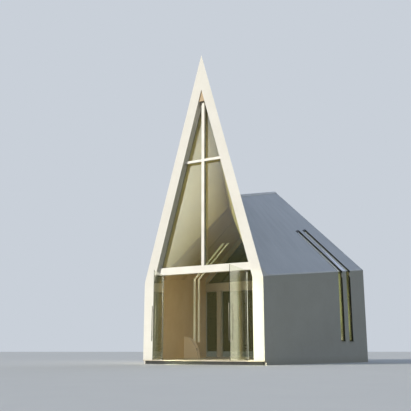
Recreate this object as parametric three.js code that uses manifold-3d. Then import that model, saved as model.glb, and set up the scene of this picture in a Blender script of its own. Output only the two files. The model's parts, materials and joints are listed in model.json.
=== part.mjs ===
// A small modern chapel with a tall pointed front, a glazed cross and open glass doors.
// Millimetres, Z up. X runs across the front and Y from the front to the rear.
// The model is laid out with Y = 0 at the front face, then moved so that the origin
// lies at ground level in the middle of the plan.
import * as THREE from 'three';
import { mergeVertices } from 'three/addons/utils/BufferGeometryUtils.js';
import Module from 'manifold-3d';

const wasm = await Module();
wasm.setup();

// Driving dimensions of the outline
const FRONT_HALF = 2420; // half the width of the front
const REAR_HALF = 4078; // half the width of the rear, the plan widens towards it
const LENGTH = 7740; // front face to rear face
const SHOULDER = 2984; // where the front legs turn into the spire
const APEX = 11864; // tip of the spire
const REAR_EAVE = 3985; // top of the side wall at the rear
const REAR_PEAK = 8117; // ridge at the rear
const RIDGE_AT_FRONT = 6041; // the ridge line carried forward to the front face
const RIDGE_START = 2600; // how far back the spire's back edge meets the ridge
const FLOOR = 150; // floor level above the ground

// Thicknesses
const WALL = 300;
const ROOF = 260; // measured straight down
const SPIRE_BACK = 185; // measured square to the sheet
const FRAME_DEPTH = 350; // depth of the front frame
const FRAME_WIDTH = 400; // width of the front frame's face
const SLAB_EDGE = 35; // the floor's thin front edge over the plinth
const PLINTH_SETBACK = 60;
const LEG_NOTCH = 100; // how far the floor's edge and plinth run under the legs
const GAP = 0.3; // between faces that touch

// Front beam, cross and glazing
const BEAM_BOTTOM = 3265;
const BEAM_TOP = 3525;
const BEAM_FRONT = 130; // set back from the front face
const BEAM_BACK = 320;
const CROSS_FRONT = 130;
const CROSS_DEPTH = 80; // it stands clear of the glass, carried by the beam and the rakes
const CROSS_POST = 114; // width
const CROSS_ARM = 96; // height
const CROSS_ARM_Z = 7560; // its middle
const GLASS_FRONT = 290; // set back from the front face
const UPPER_GLASS = 20;
const GLASS_JOINT = 6; // between the two upper panes, hidden behind the cross

// Entrance doors, each turned on a floor and a head pivot
const PIVOT_X = 1700;
const PIVOT_Y = 200;
const LEFT_OPEN = 70; // degrees open, as they stand
const RIGHT_OPEN = 95;
const LEAF = 15; // glass
const LEAF_WIDTH = 1695; // from the pivot to the meeting edge
const LEAF_TAIL = 15; // behind the pivot
const LEAF_BOTTOM = FLOOR + 10;
const LEAF_TOP = BEAM_BOTTOM - 10;
const SIDELIGHT_EDGE = 1730;
const PATCH = { length: 165, height: 51, thick: 32 };
const PIVOT_RADIUS = 10;
const PIVOT_SET_IN = 5; // how far a pin runs into its patch fitting
const PULL = { radius: 15, length: 1200, bottom: FLOOR + 650, inset: 90, reach: 65, post: 9 };
const PULL_POSTS = [0.12, 0.88]; // share of the way up the bar

// Light slots, cut through each side wall and on up the roof
const SLOT_WIDTH = 350;
const SLOT_CENTRES = [5590, 6290]; // behind the front face
const SLOT_BOTTOM = 870;
const SLOT_UP = 0.5; // share of the way from eave to ridge
const SLOT_GLASS_IN = 45; // set back from the outer face
const SLOT_GLASS = 24;

// Rear wall
const REAR_FRAME_OUT = 20; // set in from the rear face
const REAR_FRAME_IN = 300;
const REAR_GLASS_OUT = 190;
const REAR_GLASS = 20;
const HEADER_BOTTOM = 3375;
const HEADER_TOP = 3730;
const POST_WIDTH = 180;
const POST_CENTRES = [-2980, -993, 993, 2980];
const MULLION = 120;
const EDGE_BEAM = 300; // how far the roof's rear edge beam hangs below the ceiling

// Ridge flashing
const CAP_HALF = 95;
const CAP_THICK = 14;
const CAP_LIFT = 0.5;

// Short bench against the left wall
const BENCH = {
  start: 4000, length: 450, end: 60, depth: 620, height: 930, seat: 450, seatDepth: 520, back: 60,
};
const BENCH_CLEAR = 1; // off the wall, and inside the ends' outer faces

const BIG = 30000; // larger than the building, for cutting
const ROUND = 20; // facets of a turned piece

const MATERIALS = {
  render: new THREE.MeshStandardMaterial({ color: '#eeece1', roughness: 0.85, metalness: 0 }),
  roof: new THREE.MeshStandardMaterial({ color: '#d9dbda', roughness: 0.7, metalness: 0 }),
  trim: new THREE.MeshStandardMaterial({ color: '#f1f0ea', roughness: 0.5, metalness: 0 }),
  plinth: new THREE.MeshStandardMaterial({ color: '#4a4c4b', roughness: 0.9, metalness: 0 }),
  floor: new THREE.MeshStandardMaterial({ color: '#cfc9bb', roughness: 0.6, metalness: 0 }),
  glass: new THREE.MeshStandardMaterial({ color: '#6f7f7a', roughness: 0.05, metalness: 0 }),
  steel: new THREE.MeshStandardMaterial({ color: '#b9bbbd', roughness: 0.3, metalness: 1 }),
  wood: new THREE.MeshStandardMaterial({ color: '#d8c9a8', roughness: 0.5, metalness: 0 }),
};

// Solids and geometries

function toSolid(geometry) {
  const bare = geometry.index ? geometry.toNonIndexed() : geometry.clone();
  bare.deleteAttribute('normal');
  bare.deleteAttribute('uv');
  const merged = mergeVertices(bare, 1e-3);
  return new wasm.Manifold(
    new wasm.Mesh({
      numProp: 3,
      vertProperties: new Float32Array(merged.attributes.position.array),
      triVerts: new Uint32Array(merged.index.array),
    }),
  );
}

function toGeometry(solid) {
  const mesh = solid.getMesh();
  const geometry = new THREE.BufferGeometry();
  geometry.setAttribute('position', new THREE.BufferAttribute(new Float32Array(mesh.vertProperties), 3));
  geometry.setIndex(new THREE.BufferAttribute(new Uint32Array(mesh.triVerts), 1));
  geometry.computeVertexNormals();
  return geometry;
}

function box(x0, x1, y0, y1, z0, z1) {
  const geometry = new THREE.BoxGeometry(Math.abs(x1 - x0), y1 - y0, z1 - z0);
  return toSolid(geometry.translate((x0 + x1) / 2, (y0 + y1) / 2, (z0 + z1) / 2));
}

// An outline in the plane of the front, carried back from y0 to y1.
function frontPlate(points, y0, y1) {
  const shape = new THREE.Shape(points.map(([x, z]) => new THREE.Vector2(x, z)));
  const geometry = new THREE.ExtrudeGeometry(shape, { depth: y1 - y0, bevelEnabled: false });
  return toSolid(geometry.rotateX(Math.PI / 2).translate(0, y1, 0));
}

// An outline on the ground, carried up from z0 to z1.
function planPlate(points, z0, z1) {
  const shape = new THREE.Shape(points.map(([x, y]) => new THREE.Vector2(x, y)));
  const geometry = new THREE.ExtrudeGeometry(shape, { depth: z1 - z0, bevelEnabled: false });
  return toSolid(geometry.translate(0, 0, z0));
}

function rod(radius, from, to) {
  const start = new THREE.Vector3(...from);
  const along = new THREE.Vector3(...to).sub(start);
  const geometry = new THREE.CylinderGeometry(radius, radius, along.length(), ROUND);
  geometry.applyQuaternion(
    new THREE.Quaternion().setFromUnitVectors(new THREE.Vector3(0, 1, 0), along.clone().normalize()),
  );
  const middle = start.addScaledVector(along, 0.5);
  return toSolid(geometry.translate(middle.x, middle.y, middle.z));
}

// Everything on the far side of the plane through a point, the way its normal points.
function beyond(point, normal) {
  const geometry = new THREE.BoxGeometry(BIG, BIG, BIG).translate(0, 0, BIG / 2);
  geometry.applyQuaternion(
    new THREE.Quaternion().setFromUnitVectors(new THREE.Vector3(0, 0, 1), normal.clone().normalize()),
  );
  return toSolid(geometry.translate(point.x, point.y, point.z));
}

// The building's outline

const mix = (a, b, share) => a + (b - a) * share;

// Half the building's width at a distance behind the front.
const halfWidth = (y) => mix(FRONT_HALF, REAR_HALF, y / LENGTH);

function eavePoint(share) {
  return [mix(FRONT_HALF, REAR_HALF, share), LENGTH * share, mix(SHOULDER, REAR_EAVE, share)];
}

function ridgePoint(share) {
  const y = mix(RIDGE_START, LENGTH, share);
  return [0, y, mix(RIDGE_AT_FRONT, REAR_PEAK, y / LENGTH)];
}

// The spire's inner edge: half the width of the glazed opening at a height.
const innerHalf = (z) => FRONT_HALF * (1 - (z - SHOULDER) / (APEX - SHOULDER)) - FRAME_WIDTH;

const vector = ([x, y, z]) => new THREE.Vector3(x, y, z);
const shoulderPoint = (side) => vector([side * FRONT_HALF, 0, SHOULDER]);
const apexPoint = new THREE.Vector3(0, 0, APEX);
const spireFoot = vector(ridgePoint(0));

// What lies under the roof when the roof is let down by drop. Each slope is ruled with
// straight lines from the eave to the ridge, and both slopes twist a little as the
// building widens and rises towards the rear. In front of the valleys it is one plane.
function underRoof(drop) {
  const STRIPS = 12;
  const OUTSIDE = 0.15; // the rulings run on past the eave, for cutting
  const BEHIND = 1.03; // and past the rear
  const rows = [];
  for (let i = 0; i <= STRIPS; i += 1) {
    const share = (i / STRIPS) * BEHIND;
    const eave = eavePoint(share);
    const ridge = ridgePoint(share);
    const outer = eave.map((value, axis) => mix(value, ridge[axis], -OUTSIDE));
    rows.push({ outer, ridge });
  }
  const lowered = ([x, y, z]) => [x, y, z - drop];
  const mirrored = ([x, y, z]) => [-x, y, z];
  const ground = ([x, y]) => [x, y, -BIG / 10];
  const positions = [];
  const triangle = (...corners) => corners.forEach((corner) => positions.push(...corner));
  const quad = (a, b, c, d) => {
    triangle(a, b, c);
    triangle(a, c, d);
  };
  const right = rows.map(({ outer }) => lowered(outer));
  const ridge = rows.map((row) => lowered(row.ridge));
  const left = right.map(mirrored);
  for (let i = 0; i < STRIPS; i += 1) {
    quad(ridge[i], right[i], right[i + 1], ridge[i + 1]);
    quad(left[i + 1], left[i], ridge[i], ridge[i + 1]);
  }
  triangle(left[0], right[0], ridge[0]);
  const rim = [...right, ridge[STRIPS], ...left.reverse()];
  rim.forEach((corner, i) => {
    const next = rim[(i + 1) % rim.length];
    quad(corner, ground(corner), ground(next), next);
  });
  for (let i = 1; i < rim.length - 1; i += 1) {
    triangle(ground(rim[0]), ground(rim[i + 1]), ground(rim[i]));
  }
  const geometry = new THREE.BufferGeometry();
  geometry.setAttribute('position', new THREE.BufferAttribute(new Float32Array(positions), 3));
  return toSolid(geometry);
}

// The plan, drawn in by inset at each side and running past both ends.
function planPrism(inset, y0 = -BIG / 100, y1 = LENGTH + BIG / 100) {
  const near = halfWidth(y0) - inset;
  const far = halfWidth(y1) - inset;
  return planPlate([[-near, y0], [near, y0], [far, y1], [-far, y1]], -BIG / 20, BIG / 2);
}

// The spire as a full body, run on downwards so that it joins the nave below it.
function spireBody() {
  const DOWN = 600;
  const ring = [shoulderPoint(-1), shoulderPoint(1), spireFoot].map((p) => [p.x, p.y, p.z]);
  const low = ring.map(([x, y, z]) => [x, y, z - DOWN]);
  const top = [0, 0, APEX];
  const faces = [
    [ring[0], ring[1], top],
    [ring[1], ring[2], top],
    [ring[2], ring[0], top],
    [low[0], low[2], low[1]],
  ];
  for (let i = 0; i < 3; i += 1) {
    const j = (i + 1) % 3;
    faces.push([low[i], low[j], ring[j]], [low[i], ring[j], ring[i]]);
  }
  const geometry = new THREE.BufferGeometry();
  geometry.setAttribute('position', new THREE.BufferAttribute(new Float32Array(faces.flat(2)), 3));
  return toSolid(geometry);
}

// The whole building filled solid, from the ground up.
const nave = underRoof(0).intersect(planPrism(0)).intersect(box(-BIG, BIG, 0, LENGTH, 0, BIG));
const envelope = nave.add(spireBody());
const ceiling = underRoof(ROOF);
const belowCeiling = underRoof(ROOF + GAP);
const belowEdgeBeam = underRoof(ROOF + EDGE_BEAM + GAP);
const rearFrameZone = box(-BIG, BIG, LENGTH - REAR_FRAME_IN, LENGTH - REAR_FRAME_OUT, 0, BIG)
  .intersect(planPrism(WALL + GAP));

// The pointed opening in the front, drawn in by inset at its sloping edges.
function openingPrism(inset, y0, y1) {
  const LOW = SHOULDER;
  const PAST = 200; // beyond the middle, so that the two halves cross at the tip
  const rise = (APEX - SHOULDER) / FRONT_HALF;
  const half = (side) => frontPlate(
    [
      [side * -PAST, LOW],
      [side * (innerHalf(LOW) - inset), LOW],
      [side * -PAST, LOW + (innerHalf(LOW) - inset + PAST) * rise],
    ],
    y0,
    y1,
  );
  return half(1).intersect(box(-GAP, BIG, y0, y1, LOW, BIG))
    .add(half(-1).intersect(box(-BIG, GAP, y0, y1, LOW, BIG)));
}

// One side of the building: the half of a solid that lies there.
const sideBox = (side, clear, y0, y1, z0, z1) => box(side * clear, side * BIG / 2, y0, y1, z0, z1);

const chapel = new THREE.Group();
chapel.position.y = -LENGTH / 2;

function addMesh(parent, name, solid, material) {
  const mesh = new THREE.Mesh(toGeometry(solid), material);
  mesh.name = name;
  parent.add(mesh);
}

const SIDES = [[-1, 'left'], [1, 'right']];
const BEHIND_FRAME = FRAME_DEPTH + GAP;

// Ground works: a dark plinth set back under the thin edge of the floor

function basePlan(frontY, rearY, frontHalf) {
  const inside = (y) => halfWidth(y) - WALL - GAP;
  const legInner = FRONT_HALF - FRAME_WIDTH - GAP;
  const right = [
    [frontHalf, frontY],
    [frontHalf, LEG_NOTCH - GAP],
    [legInner, LEG_NOTCH - GAP],
    [legInner, BEHIND_FRAME],
    [inside(BEHIND_FRAME), BEHIND_FRAME],
    [inside(rearY), rearY],
  ];
  return [...right, ...right.map(([x, y]) => [-x, y]).reverse()];
}

function addBase() {
  const split = FLOOR - SLAB_EDGE;
  const plinth = basePlan(PLINTH_SETBACK, LENGTH - PLINTH_SETBACK, FRONT_HALF - PLINTH_SETBACK);
  addMesh(chapel, 'base_plinth', planPlate(plinth, 0, split - GAP), MATERIALS.plinth);
  addMesh(chapel, 'floor_slab', planPlate(basePlan(0, LENGTH, FRONT_HALF), split, FLOOR), MATERIALS.floor);
}

// Front frame: two legs, and two spire rakes that lean together to the tip

function addFrontFrame() {
  const notch = box(-BIG, BIG, -BIG, LEG_NOTCH, -BIG, FLOOR + GAP);
  const opening = openingPrism(0, -GAP, FRAME_DEPTH + 1);
  for (const [side, word] of SIDES) {
    const leg = envelope
      .intersect(sideBox(side, FRONT_HALF - FRAME_WIDTH, 0, FRAME_DEPTH, 0, SHOULDER - GAP))
      .subtract(notch);
    addMesh(chapel, `front_leg_${word}`, leg, MATERIALS.render);
    const rake = envelope
      .intersect(sideBox(side, GAP / 2, 0, FRAME_DEPTH, SHOULDER, BIG))
      .subtract(opening);
    addMesh(chapel, `spire_rake_${word}`, rake, MATERIALS.render);
  }
}

// Beam over the doors, the cross above it, and the glass behind the cross

function addFrontGlazing() {
  const clear = (y0, y1) => openingPrism(GAP, y0, y1);
  const beam = clear(BEAM_FRONT, BEAM_BACK).intersect(box(-BIG, BIG, -BIG, BIG, BEAM_BOTTOM, BEAM_TOP));
  addMesh(chapel, 'front_beam', beam, MATERIALS.trim);
  const crossBack = CROSS_FRONT + CROSS_DEPTH;
  const aboveBeam = BEAM_TOP + GAP;
  const post = box(-CROSS_POST / 2, CROSS_POST / 2, CROSS_FRONT, crossBack, aboveBeam, APEX);
  const arm = box(
    -FRONT_HALF, FRONT_HALF, CROSS_FRONT, crossBack, CROSS_ARM_Z - CROSS_ARM / 2, CROSS_ARM_Z + CROSS_ARM / 2,
  );
  addMesh(chapel, 'front_cross', post.add(arm).intersect(clear(CROSS_FRONT, crossBack)), MATERIALS.trim);
  const pane = clear(GLASS_FRONT, GLASS_FRONT + UPPER_GLASS);
  for (const [side, word] of SIDES) {
    const half = pane.intersect(sideBox(side, GLASS_JOINT / 2, -BIG, BIG, aboveBeam, BIG));
    addMesh(chapel, `upper_glass_${word}`, half, MATERIALS.glass);
    const edge = innerHalf(SHOULDER) - GAP;
    const sidelight = frontPlate(
      [
        [side * SIDELIGHT_EDGE, FLOOR + GAP],
        [side * edge, FLOOR + GAP],
        [side * edge, SHOULDER],
        [side * (innerHalf(BEAM_BOTTOM) - GAP), BEAM_BOTTOM - GAP],
        [side * SIDELIGHT_EDGE, BEAM_BOTTOM - GAP],
      ],
      PIVOT_Y - LEAF / 2,
      PIVOT_Y + LEAF / 2,
    );
    addMesh(chapel, `sidelight_${word}`, sidelight, MATERIALS.glass);
  }
}

// One door leaf, laid out from its pivot along +X when side is -1 and along -X when it is +1

function addDoor(side, word, open) {
  const door = new THREE.Group();
  door.position.set(side * PIVOT_X, PIVOT_Y, 0);
  door.rotation.z = THREE.MathUtils.degToRad(side * open);
  const across = -side;
  const patchEnd = PATCH.length - LEAF_TAIL;
  const cut = patchEnd + GAP;
  const low = LEAF_BOTTOM + PATCH.height + GAP;
  const high = LEAF_TOP - PATCH.height - GAP;
  const outline = [
    [-LEAF_TAIL, low], [cut, low], [cut, LEAF_BOTTOM], [LEAF_WIDTH, LEAF_BOTTOM],
    [LEAF_WIDTH, LEAF_TOP], [cut, LEAF_TOP], [cut, high], [-LEAF_TAIL, high],
  ].map(([x, z]) => [across * x, z]);
  const pullX = across * (LEAF_WIDTH - PULL.inset);
  const postHeights = PULL_POSTS.map((share) => PULL.bottom + PULL.length * share);
  const bar = (y) => rod(PULL.radius, [pullX, y, PULL.bottom], [pullX, y, PULL.bottom + PULL.length]);
  let glass = frontPlate(outline, -LEAF / 2, LEAF / 2);
  let pull = bar(-PULL.reach).add(bar(PULL.reach));
  for (const z of postHeights) {
    glass = glass.subtract(rod(PULL.post + GAP, [pullX, -LEAF, z], [pullX, LEAF, z]));
    pull = pull.add(rod(PULL.post, [pullX, -PULL.reach, z], [pullX, PULL.reach, z]));
  }
  addMesh(door, `door_${word}_glass`, glass, MATERIALS.glass);
  addMesh(door, `door_${word}_pull`, pull, MATERIALS.steel);
  const patch = (z) => box(
    across * -LEAF_TAIL, across * patchEnd, -PATCH.thick / 2, PATCH.thick / 2, z, z + PATCH.height,
  );
  const lowPin = rod(PIVOT_RADIUS, [0, 0, FLOOR + GAP], [0, 0, LEAF_BOTTOM + PIVOT_SET_IN]);
  const highPin = rod(PIVOT_RADIUS, [0, 0, LEAF_TOP - PIVOT_SET_IN], [0, 0, BEAM_BOTTOM - GAP]);
  addMesh(door, `door_${word}_floor_pivot`, patch(LEAF_BOTTOM).add(lowPin), MATERIALS.steel);
  addMesh(door, `door_${word}_head_pivot`, patch(LEAF_TOP - PATCH.height).add(highPin), MATERIALS.steel);
  chapel.add(door);
}

// Side walls and roof slopes, with the light slots cut through both

function slotRange(centre) {
  return [centre - SLOT_WIDTH / 2, centre + SLOT_WIDTH / 2];
}

const slotInnerX = (centre) => halfWidth(centre) * (1 - SLOT_UP);

function addShell() {
  const walls = planPrism(0).subtract(planPrism(WALL)).intersect(belowCeiling);
  const edgeBeam = rearFrameZone.intersect(underRoof(ROOF / 2)).subtract(underRoof(ROOF + EDGE_BEAM));
  const layer = underRoof(0).intersect(planPrism(0)).subtract(ceiling).add(edgeBeam);
  for (const [side, word] of SIDES) {
    let wall = walls.intersect(sideBox(side, GAP, BEHIND_FRAME, LENGTH, 0, BIG));
    let roof = layer.intersect(sideBox(side, GAP / 2, BEHIND_FRAME, LENGTH, 0, BIG))
      .subtract(beyond(valleyPoint(side, GAP), valleyNormal(side).negate()));
    for (const centre of SLOT_CENTRES) {
      const [y0, y1] = slotRange(centre);
      wall = wall.subtract(sideBox(side, GAP, y0, y1, SLOT_BOTTOM, BIG));
      roof = roof.subtract(sideBox(side, slotInnerX(centre), y0, y1, 0, BIG));
    }
    addMesh(chapel, `${word}_wall`, wall, MATERIALS.render);
    addMesh(chapel, `${word}_roof`, roof, MATERIALS.roof);
  }
}

// The upright plane through a valley, with its normal towards the rear and the side.
function valleyNormal(side) {
  const along = spireFoot.clone().sub(shoulderPoint(side));
  return new THREE.Vector3(-along.y * -side, along.x * -side, 0).normalize();
}

function valleyPoint(side, shift) {
  return shoulderPoint(side).addScaledVector(valleyNormal(side), shift);
}

// Folded panes in the slots, upright in the wall and sloping in the roof

function addSlotGlass() {
  const outer = underRoof(SLOT_GLASS_IN).intersect(planPrism(SLOT_GLASS_IN));
  const inner = underRoof(SLOT_GLASS_IN + SLOT_GLASS).intersect(planPrism(SLOT_GLASS_IN + SLOT_GLASS));
  const sheet = outer.subtract(inner);
  const places = ['front', 'rear'];
  for (const [side, word] of SIDES) {
    SLOT_CENTRES.forEach((centre, i) => {
      const [y0, y1] = slotRange(centre);
      const pane = sheet.intersect(
        sideBox(side, slotInnerX(centre) + GAP, y0 + GAP, y1 - GAP, SLOT_BOTTOM + GAP, BIG),
      );
      addMesh(chapel, `${word}_slot_glass_${places[i]}`, pane, MATERIALS.glass);
    });
  }
}

// The folded back of the spire: one sloping sheet each side, meeting in a sharp back edge

function addSpireBack() {
  const lift = new THREE.Vector3(0, 0, -ROOF);
  const base = new THREE.Vector3()
    .crossVectors(shoulderPoint(1).sub(shoulderPoint(-1)), spireFoot.clone().sub(shoulderPoint(-1)))
    .normalize();
  for (const [side, word] of SIDES) {
    const outward = new THREE.Vector3()
      .crossVectors(apexPoint.clone().sub(shoulderPoint(side)), spireFoot.clone().sub(shoulderPoint(side)))
      .multiplyScalar(-side)
      .normalize();
    const inside = shoulderPoint(side).addScaledVector(outward, -SPIRE_BACK);
    const sheet = envelope
      .intersect(sideBox(side, GAP / 2, BEHIND_FRAME, RIDGE_START + WALL, 0, BIG))
      .subtract(beyond(inside, outward.clone().negate()))
      .subtract(beyond(valleyPoint(side, 0), valleyNormal(side)))
      .subtract(beyond(shoulderPoint(side).add(lift), base.clone().negate()));
    addMesh(chapel, `spire_back_${word}`, sheet, MATERIALS.render);
  }
}

function addRidgeCap() {
  const cap = underRoof(-CAP_LIFT - CAP_THICK)
    .subtract(underRoof(-CAP_LIFT))
    .intersect(box(-CAP_HALF, CAP_HALF, RIDGE_START + 2 * CAP_HALF, LENGTH, 0, BIG));
  addMesh(chapel, 'ridge_cap', cap, MATERIALS.trim);
}

// Rear wall: a header, four posts, panes between them, and a glazed gable

function addRearWall() {
  const frame = (z0, z1, x0 = -BIG, x1 = BIG) => (
    box(x0, x1, 0, LENGTH, z0, z1).intersect(rearFrameZone).intersect(belowEdgeBeam)
  );
  const glass = (z0, z1, x0, x1) => (
    box(x0, x1, LENGTH - REAR_GLASS_OUT - REAR_GLASS, LENGTH - REAR_GLASS_OUT, z0, z1)
      .intersect(rearFrameZone)
      .intersect(belowEdgeBeam)
  );
  addMesh(chapel, 'rear_header', frame(HEADER_BOTTOM, HEADER_TOP), MATERIALS.trim);
  const low = FLOOR + GAP;
  const high = HEADER_BOTTOM - GAP;
  POST_CENTRES.forEach((x, i) => {
    const post = frame(low, high, x - POST_WIDTH / 2, x + POST_WIDTH / 2);
    addMesh(chapel, `rear_post_${i + 1}`, post, MATERIALS.trim);
  });
  const edges = [-BIG, ...POST_CENTRES, BIG];
  for (let i = 0; i + 1 < edges.length; i += 1) {
    const x0 = edges[i] + POST_WIDTH / 2 + GAP;
    const x1 = edges[i + 1] - POST_WIDTH / 2 - GAP;
    addMesh(chapel, `rear_pane_${i + 1}`, glass(low, high, x0, x1), MATERIALS.glass);
  }
  const above = HEADER_TOP + GAP;
  addMesh(chapel, 'rear_mullion', frame(above, BIG, -MULLION / 2, MULLION / 2), MATERIALS.trim);
  addMesh(chapel, 'rear_gable_glass_left', glass(above, BIG, -BIG, -MULLION / 2 - GAP), MATERIALS.glass);
  addMesh(chapel, 'rear_gable_glass_right', glass(above, BIG, MULLION / 2 + GAP, BIG), MATERIALS.glass);
}

// The low bench by the left wall, with quarter-round ends

function addBench() {
  const bench = new THREE.Group();
  const lean = Math.atan2(REAR_HALF - FRONT_HALF, LENGTH);
  bench.position.set(-(halfWidth(BENCH.start) - WALL - BENCH_CLEAR), BENCH.start, FLOOR + GAP);
  bench.rotation.z = lean;
  const outline = new THREE.Shape();
  outline.moveTo(0, 0);
  outline.lineTo(BENCH.depth, 0);
  outline.absellipse(0, 0, BENCH.depth, BENCH.height, 0, Math.PI / 2, false);
  outline.lineTo(0, 0);
  const settings = { depth: BENCH.end, bevelEnabled: false, curveSegments: 12 };
  const end = (y) => {
    const geometry = new THREE.ExtrudeGeometry(outline, settings);
    return toSolid(geometry.rotateX(Math.PI / 2).translate(0, y + BENCH.end, 0));
  };
  const board = (depth, height) => (
    box(0, depth, BENCH_CLEAR, BENCH.length - BENCH_CLEAR, 0, height)
  );
  const solid = end(0)
    .add(end(BENCH.length - BENCH.end))
    .add(board(BENCH.seatDepth, BENCH.seat))
    .add(board(BENCH.back, BENCH.height - BENCH.back));
  addMesh(bench, 'side_bench', solid, MATERIALS.wood);
  chapel.add(bench);
}

addBase();
addFrontFrame();
addFrontGlazing();
addDoor(-1, 'left', LEFT_OPEN);
addDoor(1, 'right', RIGHT_OPEN);
addShell();
addSlotGlass();
addSpireBack();
addRidgeCap();
addRearWall();
addBench();

export default chapel;
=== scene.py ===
# Looks of a small modern chapel: white render, a coated roof, a glazed front with a cross,
# open glass doors, light slots, a glazed rear wall and a plastered inside, whose warm tone is
# painted light.
# Metres, Z up. X runs across the front and Y from the front to the rear.
import json
import math

import bmesh
import bpy
from mathutils import Matrix, Vector
from mathutils.bvhtree import BVHTree


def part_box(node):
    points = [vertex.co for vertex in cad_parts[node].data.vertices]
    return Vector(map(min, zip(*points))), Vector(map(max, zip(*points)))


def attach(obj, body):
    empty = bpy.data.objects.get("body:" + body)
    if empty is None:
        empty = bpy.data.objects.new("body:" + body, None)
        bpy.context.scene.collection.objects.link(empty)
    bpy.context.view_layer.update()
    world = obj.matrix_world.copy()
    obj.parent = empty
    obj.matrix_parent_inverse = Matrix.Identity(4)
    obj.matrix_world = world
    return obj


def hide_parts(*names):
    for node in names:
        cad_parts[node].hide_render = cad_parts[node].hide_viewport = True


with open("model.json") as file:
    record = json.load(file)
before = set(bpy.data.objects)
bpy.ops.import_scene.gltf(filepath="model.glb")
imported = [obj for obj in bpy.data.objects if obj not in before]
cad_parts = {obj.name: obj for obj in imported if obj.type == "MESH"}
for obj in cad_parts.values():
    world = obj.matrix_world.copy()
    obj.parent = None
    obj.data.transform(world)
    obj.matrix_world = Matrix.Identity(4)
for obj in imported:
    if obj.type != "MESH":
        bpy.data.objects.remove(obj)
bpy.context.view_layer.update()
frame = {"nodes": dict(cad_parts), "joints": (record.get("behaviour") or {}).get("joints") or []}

# The building's own sizes, from the frame where it holds them
MM = 0.001
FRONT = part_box("front_leg_left")[0].y
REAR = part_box("left_wall")[1].y
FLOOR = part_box("floor_slab")[1].z
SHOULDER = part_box("spire_rake_left")[0].z
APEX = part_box("spire_rake_left")[1].z
FRONT_HALF = 2.42
FACE_WIDTH = FRONT_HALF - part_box("front_leg_right")[0].x
REAR_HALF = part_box("right_wall")[1].x
SIDES = {"left": -1, "right": 1}
SLOTS = ("front", "rear")

# Camera
CAMERA_PLACE = (10.203, FRONT - 19.162, FLOOR + 0.324)
CAMERA_TURN = math.radians(27.6)  # to the left of straight at the front
CAMERA_PITCH = math.radians(12.5)
SENSOR = 36.0
LENS = 52.55
SHIFT_UP = 0.03
VIEW_REACH = 300.0  # how far the camera sees

# Studio
KEY_FROM = (-14.1, -18.1, 7.2)  # it shines from here towards the origin
KEY_ANGLE = math.radians(4)  # how wide the key light is, for the softness of its shadows
KEY_STRENGTH = 3.12
KEY_COLOUR = "#fffaf0"
BACKDROP_COLOUR = "#c9d0d9"
BAND_COLOUR = "#3b3a27"
DOME_COLOUR = "#97a4bb"
RIGHT_COLOUR = "#3c576a"
GLOW = {"colour": "#fffceb", "strength": 2.3}
REAR_LIGHT = {"colour": "#dbe6ff", "strength": 0.78}
DOOR_LIGHT = {"colour": "#fff4e6", "strength": 1.2}
# Each share of the surround grows along an axis, between two values of the direction along it.
SHARES = {
    "dome": ((0.0, 0.0, 1.0), 0.13, 0.24),
    "right": ((1.0, 0.0, 0.0), 0.1, 0.8),
    "rear_band": ((0.0, 0.5, -1.0), 0.0, 0.15),
    "glow_rise": ((-0.8, 0.45, 0.4), 0.03, 0.12),
    "glow_round": ((-0.53, -0.84, 0.12), 0.93, 1.0),
    "rear_light": ((0.13, 0.82, 0.56), 0.88, 0.98),
    "door_light": ((0.41, -0.89, 0.2), 0.9, 0.99),
}
FLOOR_REACH = 500.0
FLOOR_SIDES = 96
FLOOR_THICK = 0.1


# Studio


def add_camera():
    data = bpy.data.cameras.new("camera")
    data.sensor_width = SENSOR
    data.lens = LENS
    data.shift_y = SHIFT_UP
    data.clip_end = VIEW_REACH
    camera = bpy.data.objects.new("camera", data)
    camera.location = CAMERA_PLACE
    camera.rotation_euler = (math.pi / 2 + CAMERA_PITCH, 0.0, CAMERA_TURN)
    bpy.context.scene.collection.objects.link(camera)
    bpy.context.scene.camera = camera


def add_key_light():
    data = bpy.data.lights.new("key", "SUN")
    data.energy = KEY_STRENGTH
    data.color = linear(KEY_COLOUR)[:3]
    data.angle = KEY_ANGLE
    lamp = bpy.data.objects.new("key", data)
    lamp.location = KEY_FROM
    lamp.rotation_euler = (-Vector(KEY_FROM)).to_track_quat("-Z", "Y").to_euler()
    bpy.context.scene.collection.objects.link(lamp)


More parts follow.
